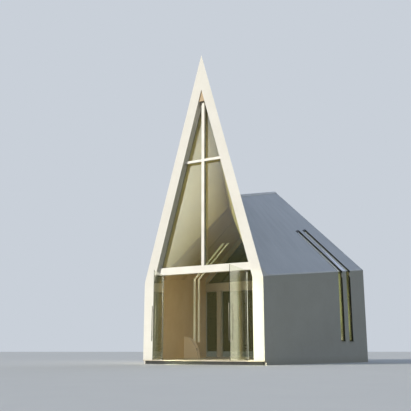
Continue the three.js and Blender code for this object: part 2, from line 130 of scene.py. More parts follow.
def add_surround():
    """A plain pale backdrop, and round it the soft light of a real site: a dark low band that
    rises at the rear, a pale blue dome that is dimmer on the right, a broad glow on the front
    left, a bright patch high at the rear, and a low light that shines in at the door."""
    world = bpy.data.worlds.new("studio")
    bpy.context.scene.world = world
    world.use_nodes = True
    tree = world.node_tree
    way = add_node(tree, "ShaderNodeTexCoord").outputs["Generated"]
    shares = {}
    for name, (axis, start, end) in SHARES.items():
        reach = add_node(
            tree, "ShaderNodeVectorMath", {"operation": "DOT_PRODUCT"}, at_0=way, at_1=axis
        )
        shares[name] = add_node(
            tree, "ShaderNodeMapRange", {"interpolation_type": "SMOOTHSTEP"},
            Value=reach.outputs["Value"], From_Min=start, From_Max=end,
        ).outputs[0]
    light = linear(BAND_COLOUR)
    for name, colour in (
        ("dome", DOME_COLOUR), ("right", RIGHT_COLOUR), ("rear_band", BAND_COLOUR)
    ):
        light = add_node(
            tree, "ShaderNodeMix", {"data_type": "RGBA"},
            at_0=shares[name], at_6=light, at_7=linear(colour),
        ).outputs[2]
    glow = add_node(
        tree, "ShaderNodeMath", {"operation": "MULTIPLY"},
        at_0=shares["glow_rise"], at_1=shares["glow_round"],
    ).outputs[0]
    for share, lit in (
        (glow, GLOW), (shares["rear_light"], REAR_LIGHT), (shares["door_light"], DOOR_LIGHT)
    ):
        light = add_node(
            tree, "ShaderNodeVectorMath", {"operation": "MULTIPLY_ADD"},
            at_0=add_node(tree, "ShaderNodeCombineXYZ", X=share, Y=share, Z=share).outputs[0],
            at_1=[lit["strength"] * part for part in linear(lit["colour"])[:3]],
            at_2=light,
        ).outputs[0]
    surround = add_node(tree, "ShaderNodeBackground", Color=light)
    backdrop = add_node(tree, "ShaderNodeBackground", Color=linear(BACKDROP_COLOUR))
    seen = add_node(
        tree, "ShaderNodeMixShader",
        at_0=add_node(tree, "ShaderNodeLightPath").outputs["Is Camera Ray"],
        at_1=surround.outputs[0], at_2=backdrop.outputs[0],
    )
    tree.links.new(seen.outputs[0], tree.nodes["World Output"].inputs["Surface"])


def add_studio():
    bpy.context.scene.view_settings.view_transform = "Standard"
    add_surround()
    add_key_light()
    bm = bmesh.new()
    turns = [math.tau * i / FLOOR_SIDES for i in range(FLOOR_SIDES)]
    rim = [(FLOOR_REACH * math.cos(turn), FLOOR_REACH * math.sin(turn), 0) for turn in turns]
    add_prism(bm, rim, Vector((0, 0, -FLOOR_THICK)))
    floor = new_object("studio_floor", bm, MATERIALS["studio_paper"])


# Materials


def linear(hex_colour):
    """A colour written in sRGB, as the linear values that a shader takes."""
    shares = [int(hex_colour[i:i + 2], 16) / 255 for i in (1, 3, 5)]
    return (*[s / 12.92 if s <= 0.04045 else ((s + 0.055) / 1.055) ** 2.4 for s in shares], 1.0)


def add_node(tree, kind, settings=None, **inputs):
    """Adds a node, with its own settings, and its inputs as values or as other nodes' sockets.

    An input is named by its socket, with _ for a space, or as at_N for the socket numbered N.
    """
    node = tree.nodes.new(kind)
    for name, value in (settings or {}).items():
        setattr(node, name, value)
    for name, value in inputs.items():
        socket = node.inputs[int(name[3:]) if name.startswith("at_") else name.replace("_", " ")]
        if isinstance(value, bpy.types.NodeSocket):
            tree.links.new(value, socket)
        else:
            socket.default_value = value
    return node


def new_material(name, slot, **sockets):
    """A material with its one Principled shader, whose even values are set on its sockets."""
    material = bpy.data.materials.new(name)
    material.use_nodes = True
    material["slot"] = slot
    tree = material.node_tree
    shader = tree.nodes["Principled BSDF"]
    for socket, value in sockets.items():
        shader.inputs[socket.replace("_", " ")].default_value = value
    place = add_node(tree, "ShaderNodeTexCoord").outputs["Object"]
    return material, tree, shader, place


RENDER_PAINT = ("#f1efe8", "#e5e2d9")  # pale and deep
EDGE_PAINT = "#eae8df"  # the same paint, midway, on the roof's upright edges
LAMP_TINT = "#7c766d"  # what a tinted pane leaves of a lamp's light


def per_metre(millimetres):
    """The scale of a noise whose features are about this far apart."""
    return 1000.0 / millimetres


def trowelled_render(name, slot, pale, deep, roughness, warm_foot=None):
    # Mineral render, floated smooth by trowel and painted: flat and chalky, with soft patches
    # a metre or so wide, faint trowel sweeps and a fine grain.
    material, tree, shader, place = new_material(
        name, slot, Roughness=roughness, Specular_IOR_Level=0.3
    )
    patches = add_node(tree, "ShaderNodeTexNoise", Vector=place, Scale=per_metre(1400), Detail=5.0)
    sweeps = add_node(
        tree, "ShaderNodeTexNoise", Vector=place, Scale=per_metre(260), Detail=3.0, Distortion=1.6
    )
    both = add_node(
        tree, "ShaderNodeMath", {"operation": "MULTIPLY_ADD"},
        at_0=sweeps.outputs["Fac"], at_1=0.35, at_2=patches.outputs["Fac"],
    )
    share = add_node(
        tree, "ShaderNodeMapRange", Value=both.outputs[0],
        From_Min=0.35, From_Max=1.0, To_Min=0.0, To_Max=1.0,
    )
    colour = add_node(
        tree, "ShaderNodeMix", {"data_type": "RGBA"},
        at_0=share.outputs[0], at_6=linear(pale), at_7=linear(deep),
    ).outputs[2]
    if warm_foot:
        height = add_node(tree, "ShaderNodeSeparateXYZ", Vector=place).outputs["Z"]
        splash = add_node(
            tree, "ShaderNodeMapRange", Value=height,
            From_Min=0.0, From_Max=0.28, To_Min=0.30, To_Max=0.0,
        )
        colour = add_node(
            tree, "ShaderNodeMix", {"data_type": "RGBA"},
            at_0=splash.outputs[0], at_6=colour, at_7=linear(warm_foot),
        ).outputs[2]
    tree.links.new(colour, shader.inputs["Base Color"])
    # The sand in it is 1 to 2 mm, drawn 9 mm wide so that it shows.
    grain = add_node(tree, "ShaderNodeTexNoise", Vector=place, Scale=per_metre(9), Detail=4.0)
    fine = add_node(
        tree, "ShaderNodeBump", Strength=0.18, Distance=0.6 * MM, Height=grain.outputs["Fac"]
    )
    wavy = add_node(
        tree, "ShaderNodeBump", Strength=0.35, Distance=2.5 * MM,
        Height=sweeps.outputs["Fac"], Normal=fine.outputs[0],
    )
    tree.links.new(wavy.outputs[0], shader.inputs["Normal"])
    return material


LAP_SCALE = 0.29 / 1.1  # of the wave that draws the laps, 1.19 m apart
COATED_FROM = 0.3  # a roof's face that looks up by more than this share is coated


def coated_roof():
    # A liquid coating rolled on in one sheet: pale, a little slick, with lap bands where one
    # roller width meets the next and a few faint water marks down the slope.
    material, tree, shader, place = new_material(
        "rolled_roof_coating", "roof_coating", Specular_IOR_Level=0.45
    )
    stretched = add_node(tree, "ShaderNodeMapping", Vector=place, Scale=(0.35, 1.0, 0.35))
    marks = add_node(
        tree, "ShaderNodeTexNoise", Vector=stretched.outputs[0], Scale=per_metre(320), Detail=5.0
    )
    patches = add_node(tree, "ShaderNodeTexNoise", Vector=place, Scale=per_metre(2200), Detail=3.0)
    laps = add_node(
        tree, "ShaderNodeTexWave", {"bands_direction": "Y", "wave_profile": "SAW"},
        Vector=place, Scale=LAP_SCALE, Distortion=0.15,
    )
    edge = add_node(
        tree, "ShaderNodeMapRange", Value=laps.outputs["Fac"],
        From_Min=0.965, From_Max=1.0, To_Min=0.0, To_Max=0.35,
    )
    share = add_node(
        tree, "ShaderNodeMath", {"operation": "MULTIPLY"},
        at_0=marks.outputs["Fac"], at_1=patches.outputs["Fac"],
    )
    worn = add_node(
        tree, "ShaderNodeMapRange", Value=share.outputs[0],
        From_Min=0.16, From_Max=0.36, To_Min=0.0, To_Max=0.5,
    )
    ground = add_node(
        tree, "ShaderNodeMix", {"data_type": "RGBA"},
        at_0=worn.outputs[0], at_6=linear("#dfe1e1"), at_7=linear("#d3d6d7"),
    )
    colour = add_node(
        tree, "ShaderNodeMix", {"data_type": "RGBA"},
        at_0=edge.outputs[0], at_6=ground.outputs[2], at_7=linear("#c5cacd"),
    )
    # It ends at the folds: the upright edges under it are rendered and painted as the walls are.
    facing_up = add_node(
        tree, "ShaderNodeSeparateXYZ",
        Vector=add_node(tree, "ShaderNodeTexCoord").outputs["Normal"],
    ).outputs["Z"]
    coated = add_node(
        tree, "ShaderNodeMath", {"operation": "GREATER_THAN"}, at_0=facing_up, at_1=COATED_FROM
    ).outputs[0]
    sheet = add_node(
        tree, "ShaderNodeMix", {"data_type": "RGBA"},
        at_0=coated, at_6=linear(EDGE_PAINT), at_7=colour.outputs[2],
    )
    tree.links.new(sheet.outputs[2], shader.inputs["Base Color"])
    gloss = add_node(
        tree, "ShaderNodeMapRange", Value=marks.outputs["Fac"],
        From_Min=0.3, From_Max=0.7, To_Min=0.5, To_Max=0.58,
    )
    dull = add_node(
        tree, "ShaderNodeMapRange", Value=coated, To_Min=0.86, To_Max=gloss.outputs[0]
    )
    tree.links.new(dull.outputs[0], shader.inputs["Roughness"])
    # Roller stipple is about 3 mm, drawn 14 mm wide so that it shows.
    stipple = add_node(tree, "ShaderNodeTexNoise", Vector=place, Scale=per_metre(14), Detail=2.0)
    bump = add_node(
        tree, "ShaderNodeBump", Strength=0.2, Distance=0.8 * MM, Height=stipple.outputs["Fac"]
    )
    tree.links.new(bump.outputs[0], shader.inputs["Normal"])
    return material


def painted_metal(name, slot, pale, deep, roughness):
    # Folded aluminium, powder coated or anodised: even, half gloss, with a slight orange peel
    # and a little dust that dulls it in patches.
    material, tree, shader, place = new_material(name, slot, IOR=1.5)
    dust = add_node(tree, "ShaderNodeTexNoise", Vector=place, Scale=per_metre(420), Detail=4.0)
    colour = add_node(
        tree, "ShaderNodeMix", {"data_type": "RGBA"},
        at_0=dust.outputs["Fac"], at_6=linear(pale), at_7=linear(deep),
    )
    tree.links.new(colour.outputs[2], shader.inputs["Base Color"])
    gloss = add_node(
        tree, "ShaderNodeMapRange", Value=dust.outputs["Fac"],
        From_Min=0.3, From_Max=0.7, To_Min=roughness - 0.06, To_Max=roughness + 0.08,
    )
    tree.links.new(gloss.outputs[0], shader.inputs["Roughness"])
    peel = add_node(tree, "ShaderNodeTexNoise", Vector=place, Scale=per_metre(5), Detail=1.0)
    bump = add_node(
        tree, "ShaderNodeBump", Strength=0.12, Distance=0.2 * MM, Height=peel.outputs["Fac"]
    )
    tree.links.new(bump.outputs[0], shader.inputs["Normal"])
    return material


def cast_concrete():
    # Dark concrete, cast against boards: matt, patchy, with small air holes; its dark tone is also
    # painted shade, for the shadow in the recess at the foot of the front.
    material, tree, shader, place = new_material(
        "cast_concrete_dark_and_painted_shade", "dark_plinth", Roughness=0.88, Specular_IOR_Level=0.3
    )
    patches = add_node(tree, "ShaderNodeTexNoise", Vector=place, Scale=per_metre(350), Detail=6.0)
    colour = add_node(
        tree, "ShaderNodeMix", {"data_type": "RGBA"},
        at_0=patches.outputs["Fac"], at_6=linear("#3d3f40"), at_7=linear("#5a5b58"),
    )
    tree.links.new(colour.outputs[2], shader.inputs["Base Color"])
    holes = add_node(
        tree, "ShaderNodeTexVoronoi", {"feature": "F1"}, Vector=place, Scale=per_metre(45)
    )
    pits = add_node(
        tree, "ShaderNodeMapRange", Value=holes.outputs["Distance"],
        From_Min=0.05, From_Max=0.16, To_Min=0.0, To_Max=1.0,
    )
    bump = add_node(tree, "ShaderNodeBump", Strength=0.5, Distance=3 * MM, Height=pits.outputs[0])
    tree.links.new(bump.outputs[0], shader.inputs["Normal"])
    return material


def honed_stone():
    # Limestone slabs 600 mm square, honed: pale, softly veined, with thin grey joints.
    material, tree, shader, place = new_material("honed_limestone", "floor_stone", IOR=1.5)
    slabs = add_node(
        tree, "ShaderNodeTexBrick", {"offset": 0.0},
        Vector=place, Color1=linear("#d6cfbf"), Color2=linear("#cbc3b1"), Mortar=linear("#8e887c"),
        Scale=1.0, Mortar_Size=0.004, Mortar_Smooth=0.2, Brick_Width=0.6, Row_Height=0.6,
    )
    veins = add_node(
        tree, "ShaderNodeTexNoise", Vector=place, Scale=per_metre(180), Detail=8.0, Distortion=0.8
    )
    shade = add_node(
        tree, "ShaderNodeMapRange", Value=veins.outputs["Fac"],
        From_Min=0.3, From_Max=0.7, To_Min=0.0, To_Max=0.45,
    )
    colour = add_node(
        tree, "ShaderNodeMix", {"data_type": "RGBA"},
        at_0=shade.outputs[0], at_6=slabs.outputs["Color"], at_7=linear("#b4a98f"),
    )
    tree.links.new(colour.outputs[2], shader.inputs["Base Color"])
    gloss = add_node(
        tree, "ShaderNodeMapRange", Value=veins.outputs["Fac"],
        From_Min=0.3, From_Max=0.7, To_Min=0.32, To_Max=0.5,
    )
    tree.links.new(gloss.outputs[0], shader.inputs["Roughness"])
    bump = add_node(
        tree, "ShaderNodeBump", {"invert": True}, Strength=0.6, Distance=1.5 * MM,
        Height=slabs.outputs["Fac"],
    )
    tree.links.new(bump.outputs[0], shader.inputs["Normal"])
    return material


def float_glass(name, slot, tint, roughness, ior=1.52, lamp_tint=None):
    # Float glass: dead flat and clear with a slight body colour. Lamp light passes straight
    # through it, so that it lights what stands behind. A solar control coating mirrors more of
    # what is round it, as glass of a higher index would.
    material, tree, shader, place = new_material(
        name, slot, Roughness=roughness, IOR=ior, Transmission_Weight=1.0
    )
    smear = add_node(tree, "ShaderNodeTexNoise", Vector=place, Scale=per_metre(600), Detail=3.0)
    colour = add_node(
        tree, "ShaderNodeMix", {"data_type": "RGBA"},
        at_0=smear.outputs["Fac"], at_6=linear(tint[0]), at_7=linear(tint[1]),
    )
    tree.links.new(colour.outputs[2], shader.inputs["Base Color"])
    path = add_node(tree, "ShaderNodeLightPath")
    clear = add_node(tree, "ShaderNodeBsdfTransparent", Color=linear(lamp_tint or tint[0]))
    out = tree.nodes["Material Output"]
    shown = add_node(
        tree, "ShaderNodeMixShader",
        at_0=path.outputs["Is Shadow Ray"], at_1=shader.outputs[0], at_2=clear.outputs[0],
    )
    tree.links.new(shown.outputs[0], out.inputs["Surface"])
    return material


def brushed_steel(name, pale, deep, roughness):
    # Stainless steel, brushed along its length: fine streaks that spread the highlights.
    material, tree, shader, place = new_material(name, "steel", Metallic=1.0)
    # Brush lines are a tenth of a millimetre apart, drawn 2 mm apart so that they show.
    long = add_node(tree, "ShaderNodeMapping", Vector=place, Scale=(1.0, 1.0, 0.02))
    lines = add_node(
        tree, "ShaderNodeTexNoise", Vector=long.outputs[0], Scale=per_metre(2), Detail=3.0
    )
    colour = add_node(
        tree, "ShaderNodeMix", {"data_type": "RGBA"},
        at_0=lines.outputs["Fac"], at_6=linear(pale), at_7=linear(deep),
    )
    tree.links.new(colour.outputs[2], shader.inputs["Base Color"])
    gloss = add_node(
        tree, "ShaderNodeMapRange", Value=lines.outputs["Fac"],
        From_Min=0.3, From_Max=0.7, To_Min=roughness - 0.08, To_Max=roughness + 0.08,
    )
    tree.links.new(gloss.outputs[0], shader.inputs["Roughness"])
    bump = add_node(
        tree, "ShaderNodeBump", Strength=0.15, Distance=0.1 * MM, Height=lines.outputs["Fac"]
    )
    tree.links.new(bump.outputs[0], shader.inputs["Normal"])
    return material


def oiled_boards(name, pale, deep):
    # Hardwood boards, planed and oiled: a soft sheen over fine grain along the boards.
    material, tree, shader, place = new_material(name, "pale_wood", IOR=1.45)
    along = add_node(tree, "ShaderNodeMapping", Vector=place, Scale=(1.0, 0.06, 1.0))
    grain = add_node(
        tree, "ShaderNodeTexNoise", Vector=along.outputs[0], Scale=per_metre(16), Detail=6.0,
        Distortion=0.4,
    )
    colour = add_node(
        tree, "ShaderNodeMix", {"data_type": "RGBA"},
        at_0=grain.outputs["Fac"], at_6=linear(pale), at_7=linear(deep),
    )
    tree.links.new(colour.outputs[2], shader.inputs["Base Color"])
    gloss = add_node(
        tree, "ShaderNodeMapRange", Value=grain.outputs["Fac"],
        From_Min=0.3, From_Max=0.7, To_Min=0.42, To_Max=0.55,
    )
    tree.links.new(gloss.outputs[0], shader.inputs["Roughness"])
    bump = add_node(
        tree, "ShaderNodeBump", Strength=0.2, Distance=0.4 * MM, Height=grain.outputs["Fac"]
    )
    tree.links.new(bump.outputs[0], shader.inputs["Normal"])
    return material


def moulded_rubber():
    # Extruded rubber gasket: matt black, slightly dusty.
    material, tree, shader, place = new_material(
        "extruded_rubber", "dark_plinth", Roughness=0.75, Specular_IOR_Level=0.35
    )
    dust = add_node(tree, "ShaderNodeTexNoise", Vector=place, Scale=per_metre(60), Detail=4.0)
    colour = add_node(
        tree, "ShaderNodeMix", {"data_type": "RGBA"},
        at_0=dust.outputs["Fac"], at_6=linear("#1d1e1e"), at_7=linear("#33342f"),
    )
    tree.links.new(colour.outputs[2], shader.inputs["Base Color"])
    return material


def studio_paper():
    # Seamless backdrop paper: plain, pale and matt.
    material, tree, shader, place = new_material("studio_paper", "", Roughness=0.9)
    grain = add_node(tree, "ShaderNodeTexNoise", Vector=place, Scale=per_metre(900), Detail=2.0)
    paper = add_node(
        tree, "ShaderNodeMix", {"data_type": "RGBA"},
        at_0=grain.outputs["Fac"], at_6=linear("#d9d9d4"), at_7=linear("#d4d4d0"),
    )
    # It throws back less light on the building than the camera sees on it.
    seen = add_node(
        tree, "ShaderNodeMix", {"data_type": "RGBA"},
        at_0=add_node(tree, "ShaderNodeLightPath").outputs["Is Camera Ray"],
        at_6=linear("#63634f"), at_7=paper.outputs[2],
    )
    tree.links.new(seen.outputs[2], shader.inputs["Base Color"])
    return material


MATERIALS = {
    "white_render": trowelled_render(
        "floated_white_render", "white_render", *RENDER_PAINT, 0.86, warm_foot="#b9b19c"
    ),
    # Its warm tan colour is painted light: it stands in for the warm light inside.
    "plaster": trowelled_render("plaster_painted_warm_light", "white_render", "#eddabb", "#e0c9a2", 0.8),
    "roof": coated_roof(),
    "white_metal": painted_metal("powder_coated_white", "white_metal", "#e6e4dc", "#dad7cd", 0.42),
    "bronze_metal": painted_metal("anodised_bronze", "white_metal", "#45453a", "#37382f", 0.42),
    "concrete": cast_concrete(),
    "stone": honed_stone(),
    "clear_glass": float_glass("clear_float_glass", "clear_glass", ("#f2f4e8", "#eaeee0"), 0.0),
    "tinted_glass": float_glass(
        "grey_green_float_glass", "tinted_glass", ("#d6d9bb", "#cfd2b4"), 0.03, lamp_tint=LAMP_TINT
    ),
    "coated_glass": float_glass(
        "solar_control_glass", "clear_glass", ("#dfe6d2", "#d6dec9"), 0.0, ior=1.95
    ),
    "steel": brushed_steel("brushed_stainless_steel", "#c9cacb", "#a8aaac", 0.3),
    "dark_steel": brushed_steel("brushed_darkened_steel", "#8f8c7e", "#7a776b", 0.44),
    "beech": oiled_boards("oiled_beech", "#f8efde", "#e8d9be"),
    # Oak on the board in the tip of the opening, whose warm tone is painted light.
    "oak": oiled_boards("oiled_oak_painted_warm_light", "#c0a57e", "#ad926b"),
    "rubber": moulded_rubber(),
    "studio_paper": studio_paper(),
}


# Lines of the building


def opening_half(z):
    """Half the width of the front's pointed opening at a height."""
    return FRONT_HALF * (1 - (z - SHOULDER) / (APEX - SHOULDER)) - FACE_WIDTH


def half_width(y):
    """Half the width of the nave, which grows from the front face to the rear one."""
    return FRONT_HALF + (REAR_HALF - FRONT_HALF) * (y - FRONT) / (REAR - FRONT)


def line(start, end):
    """A straight line of the plan, as a function that gives the point at a share along it."""
    return lambda share: tuple(a + (b - a) * share for a, b in zip(start, end))


# Meshes

SHARP = math.radians(30)  # an edge that turns by more is rounded
SHADED_SHARP = math.radians(35)  # an edge that turns by more is shaded as an edge
WELD = 0.02 * MM  # corners closer than this are one corner
FLAT = math.radians(0.05)  # faces that meet at less than this are one face
LIFT = 0.5 * MM  # how far a sheet stands off the surface that it lies on


def add_prism(bm, outline, away):
    """A closed prism: a flat outline carried along the vector away."""
    near = [bm.verts.new(point) for point in outline]
    far = [bm.verts.new(Vector(point) + away) for point in outline]
    bm.faces.new(near)
    bm.faces.new(far[::-1])
    for i, corner in enumerate(near):
        j = (i + 1) % len(near)
        bm.faces.new((near[j], corner, far[i], far[j]))


def add_box(bm, x0, x1, y0, y1, z0, z1):
    foot = [(x0, y0, z0), (x1, y0, z0), (x1, y1, z0), (x0, y1, z0)]
    add_prism(bm, foot, Vector((0, 0, z1 - z0)))


def soften(bm, width):
    """Rounds every sharp edge."""
    sharp = [
        edge for edge in bm.edges
        if len(edge.link_faces) == 2 and edge.calc_face_angle(0.0) > SHARP
    ]
    bmesh.ops.bevel(
        bm, geom=sharp, offset=width, segments=2, profile=0.5, affect="EDGES", clamp_overlap=True
    )


def new_object(name, bm, material, smooth=False):
    bmesh.ops.recalc_face_normals(bm, faces=bm.faces)
    mesh = bpy.data.meshes.new(name)
    bm.to_mesh(mesh)
    bm.free()
    mesh.materials.append(material)
    if smooth:
        mesh.shade_smooth()
        mesh.set_sharp_from_angle(angle=SHADED_SHARP)
    piece = bpy.data.objects.new(name, mesh)
    bpy.context.scene.collection.objects.link(piece)
    return piece


def add_piece(name, bm, finish, body="building", stands_for=(), smooth=False):
    """Makes a piece, which rides on its body and replaces the nodes that it stands for."""
    material = MATERIALS[finish]
    piece = new_object(name, bm, material, smooth)
    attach(piece, body)
    if stands_for:
        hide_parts(*stands_for)


def skin_of(node, chosen):
    """The faces of a node that chosen picks, joined up, without the triangles' inner edges."""
    bm = bmesh.new()
    bm.from_mesh(frame["nodes"][node].data)
    bmesh.ops.remove_doubles(bm, verts=bm.verts, dist=WELD)
    bmesh.ops.delete(bm, geom=[face for face in bm.faces if not chosen(face)], context="FACES")
    bmesh.ops.dissolve_limit(bm, angle_limit=FLAT, verts=bm.verts, edges=bm.edges)
    return bm


def thicken(bm, lift, thick):
    """Moves a skin off its surface by lift and gives it a thickness, away from that surface."""
    bm.normal_update()
    for vert, normal in [(vert, vert.normal.copy()) for vert in bm.verts]:
        vert.co += normal * lift
    bmesh.ops.solidify(bm, geom=bm.faces, thickness=-thick)


def keep_part(bm, point, normal, outer):
    """Keeps what lies outside a plane, or what lies inside it."""
    bmesh.ops.bisect_plane(
        bm, geom=[*bm.verts, *bm.edges, *bm.faces], plane_co=point, plane_no=normal,
        clear_inner=outer, clear_outer=not outer,
    )


def add_bead(name, node, chosen, width, depth, finish):
    """A glazing bead round one side of a pane: its edge strip, raised off the glass."""
    bm = skin_of(node, chosen)
    ring = bmesh.ops.inset_region(
        bm, faces=bm.faces, thickness=width, use_boundary=True, use_even_offset=True
    )["faces"]
    inner = [face for face in bm.faces if face not in ring]
    bmesh.ops.delete(bm, geom=inner, context="FACES")
    thicken(bm, LIFT, depth)
    add_piece(name, bm, finish)


def facing(direction, least=0.9):
    """Picks the faces that look along a direction."""
    way = Vector(direction)
    return lambda face: face.normal.dot(way) > least


# Front: beam casing, glazing beads and the board in the tip of the opening

BEAM_SHEET = 3 * MM
BEAM_GAP = 0.2 * MM  # between the beam and the sheet round it
BEAM_CLEAR = 2 * MM  # between the sheet's ends and the edges of the opening
BEAM_ROUND = 1.2 * MM
BEAM_JOINT_X = 1.005
BEAM_JOINT = 9 * MM
# Pane, name, the way it looks along Y, width, depth and finish
FRONT_BEADS = (
    ("upper_glass", "bead", -1, 28 * MM, 24 * MM, "white_metal"),
    ("upper_glass", "gasket", -1, 36 * MM, 5 * MM, "rubber"),
    ("upper_glass", "inner_bead", 1, 40 * MM, 30 * MM, "white_metal"),
    ("sidelight", "channel", -1, 14 * MM, 12 * MM, "steel"),
)
TIP_BOARD = {
    "drop": 0.47, "in": 30 * MM, "thick": 30 * MM, "side_gap": 1 * MM, "tip_gap": 8 * MM,
    "round": 1.5 * MM,
}


def add_beam_casing():
    """A sheet under and before the beam, in two lengths whose outer ends follow the opening."""
    low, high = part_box("front_beam")
    under, over = low.z - BEAM_SHEET, low.z - BEAM_GAP
    face, back = low.y - BEAM_SHEET, low.y - BEAM_GAP
    profile = [
        (face, under), (high.y, under), (high.y, over), (back, over), (back, high.z), (face, high.z)
    ]
    spans = {
        "left": (-FRONT_HALF, BEAM_JOINT_X - BEAM_JOINT / 2),
        "right": (BEAM_JOINT_X + BEAM_JOINT / 2, FRONT_HALF),
    }
    for word, (start, end) in spans.items():
        bm = bmesh.new()
        add_prism(bm, [(start, y, z) for y, z in profile], Vector((end - start, 0, 0)))
        for vert in bm.verts:
            if abs(vert.co.x) > FRONT_HALF - MM:
                reach = opening_half(max(vert.co.z, SHOULDER)) - BEAM_CLEAR
                vert.co.x = SIDES[word] * reach
        soften(bm, BEAM_ROUND)
        add_piece(f"beam_casing_{word}", bm, "white_metal")


def add_front_beads():
    for word in SIDES:
        for pane, name, way, width, depth, finish in FRONT_BEADS:
            looks = facing((0, way, 0))
            add_bead(f"{pane}_{name}_{word}", f"{pane}_{word}", looks, width, depth, finish)


def add_tip_board():
    tip = SHOULDER + (APEX - SHOULDER) * (1 - FACE_WIDTH / FRONT_HALF)
    foot = tip - TIP_BOARD["drop"]
    reach = opening_half(foot) - TIP_BOARD["side_gap"]
    front = FRONT + TIP_BOARD["in"]
    outline = [(-reach, front, foot), (reach, front, foot), (0, front, tip - TIP_BOARD["tip_gap"])]
    bm = bmesh.new()
    add_prism(bm, outline, Vector((0, TIP_BOARD["thick"], 0)))
    soften(bm, TIP_BOARD["round"])
    # The board's warm oak tone is painted light: it stands in for the warm light seen in the tip of
    # the opening.
    add_piece("tip_board", bm, "oak")


# Doors: each leaf's pulls and patch fittings, laid out from its pivot towards its free edge

LEAF_TURN = {"left": math.radians(-70), "right": math.radians(95)}  # how they stand open
LEAF_HALF = 7.5 * MM  # half the thickness of the glass
ROUND = 40  # facets of a turned piece
RIM_TURN = 1.0  # an edge that turns by more, in radians, is the rim of a rod's end
PULL = {
    "radius": 15 * MM, "reach": 65 * MM, "round": 4 * MM, "post": 9 * MM,
    "rose": 17 * MM, "rose_thick": 5 * MM, "rose_gap": 0.3 * MM, "rose_round": 1.2 * MM,
}
PULL_SHARES = (0.12, 0.88)  # where its two posts stand, up its length
PATCH = {
    "behind": 15 * MM, "ahead": 150 * MM, "half": 16 * MM, "half_gap": 2 * MM, "round": 2 * MM,
    "half_core": 3 * MM, "core_in": 1 * MM,
}
CORE_SHARES = (0.8, 0.99)  # where the core between the plates ends, behind and ahead
SCREW_CAP = {"radius": 8 * MM, "sunk": 1 * MM, "proud": 1.5 * MM, "round": 0.7 * MM}
SCREW_SHARES = (0.3, 0.75)  # where they sit along a plate
PIN = {"radius": 10 * MM, "out": 9.7 * MM, "in": 5 * MM}


def leaf_matrix(word):
    """From a leaf's own frame, at its pivot, to where it stands open at rest."""
    hinge = next(joint for joint in frame["joints"] if joint["name"] == f"door_{word}_hinge")
    turn = Matrix.Rotation(LEAF_TURN[word], 4, "Z")
    return Matrix.Translation(Vector((hinge["pos_m"][0], hinge["pos_m"][1], 0))) @ turn


def add_rod(bm, radius, start, end, rounding=0.0):
    """A round bar from start to end, with its end edges rounded."""
    start, end = Vector(start), Vector(end)
    along = end - start
    turn = along.to_track_quat("Z", "Y").to_matrix().to_4x4()
    made = bmesh.ops.create_cone(
        bm, cap_ends=True, segments=ROUND, radius1=radius, radius2=radius, depth=along.length,
        matrix=Matrix.Translation((start + end) / 2) @ turn,
    )
    if rounding:
        rims = {
            edge for vert in made["verts"] for edge in vert.link_edges
            if len(edge.link_faces) == 2 and edge.calc_face_angle(0.0) > RIM_TURN
        }
        bmesh.ops.bevel(
            bm, geom=list(rims), offset=rounding, segments=3, profile=0.5, affect="EDGES"
        )


def add_pull(word):
    """A round pull on each side of a leaf, on two posts with roses."""
    low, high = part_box(f"door_{word}_pull")
    leaf = leaf_matrix(word)
    x = (leaf.inverted() @ ((low + high) / 2)).x
    length = high.z - low.z
    bm = bmesh.new()
    for way in (-1, 1):
        y = way * PULL["reach"]
        add_rod(bm, PULL["radius"], (x, y, low.z), (x, y, high.z), PULL["round"])
        for share in PULL_SHARES:
            z = low.z + share * length
            add_rod(bm, PULL["post"], (x, y, z), (x, way * LEAF_HALF, z))
            foot = (x, way * (LEAF_HALF + PULL["rose_gap"]), z)
            head = (x, way * (LEAF_HALF + PULL["rose_thick"]), z)
            add_rod(bm, PULL["rose"], foot, head, PULL["rose_round"])
    bm.transform(leaf)
    add_piece(
        f"door_{word}_round_pulls", bm, "dark_steel", f"door_{word}", (f"door_{word}_pull",),
        smooth=True,
    )


def add_patch(word, side, level, pin_way):
    """A patch fitting: two clamped plates with a shadow line and screw caps, and its pin."""
    node = f"door_{word}_{level}_pivot"
    low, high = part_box(node)
    z0, z1 = low.z, high.z
    if pin_way < 0:
        z0 += PIN["out"]
        pin_from, pin_to = z0 + PIN["in"], low.z
    else:
        z1 -= PIN["out"]
        pin_from, pin_to = z1 - PIN["in"], high.z
    x0, x1 = side * PATCH["behind"], -side * PATCH["ahead"]
    bm = bmesh.new()
    for way in (-1, 1):
        add_box(bm, x0, x1, way * PATCH["half_gap"], way * PATCH["half"], z0, z1)
    soften(bm, PATCH["round"])
    add_box(
        bm, x0 * CORE_SHARES[0], x1 * CORE_SHARES[1], -PATCH["half_core"], PATCH["half_core"],
        z0 + PATCH["core_in"], z1 - PATCH["core_in"],
    )
    for share in SCREW_SHARES:
        for way in (-1, 1):
            x = x0 + (x1 - x0) * share
            z = (z0 + z1) / 2
            foot = (x, way * (PATCH["half"] - SCREW_CAP["sunk"]), z)
            head = (x, way * (PATCH["half"] + SCREW_CAP["proud"]), z)
            add_rod(bm, SCREW_CAP["radius"], foot, head, SCREW_CAP["round"])
    add_rod(bm, PIN["radius"], (0, 0, pin_from), (0, 0, pin_to))
    bm.transform(leaf_matrix(word))
    add_piece(
        f"door_{word}_{level}_patch", bm, "dark_steel", f"door_{word}", (node,), smooth=True
    )


def add_doors():
    for word, side in SIDES.items():
        add_pull(word)
        add_patch(word, side, "floor", -1)
        add_patch(word, side, "head", 1)


# Inside: plaster on the walls and under the roof, with painted warm light in its tan colour

PLASTER = 12 * MM
PLASTER_SHORT = 5 * MM  # how far it stops before the rear face, so that its thickness stays inside


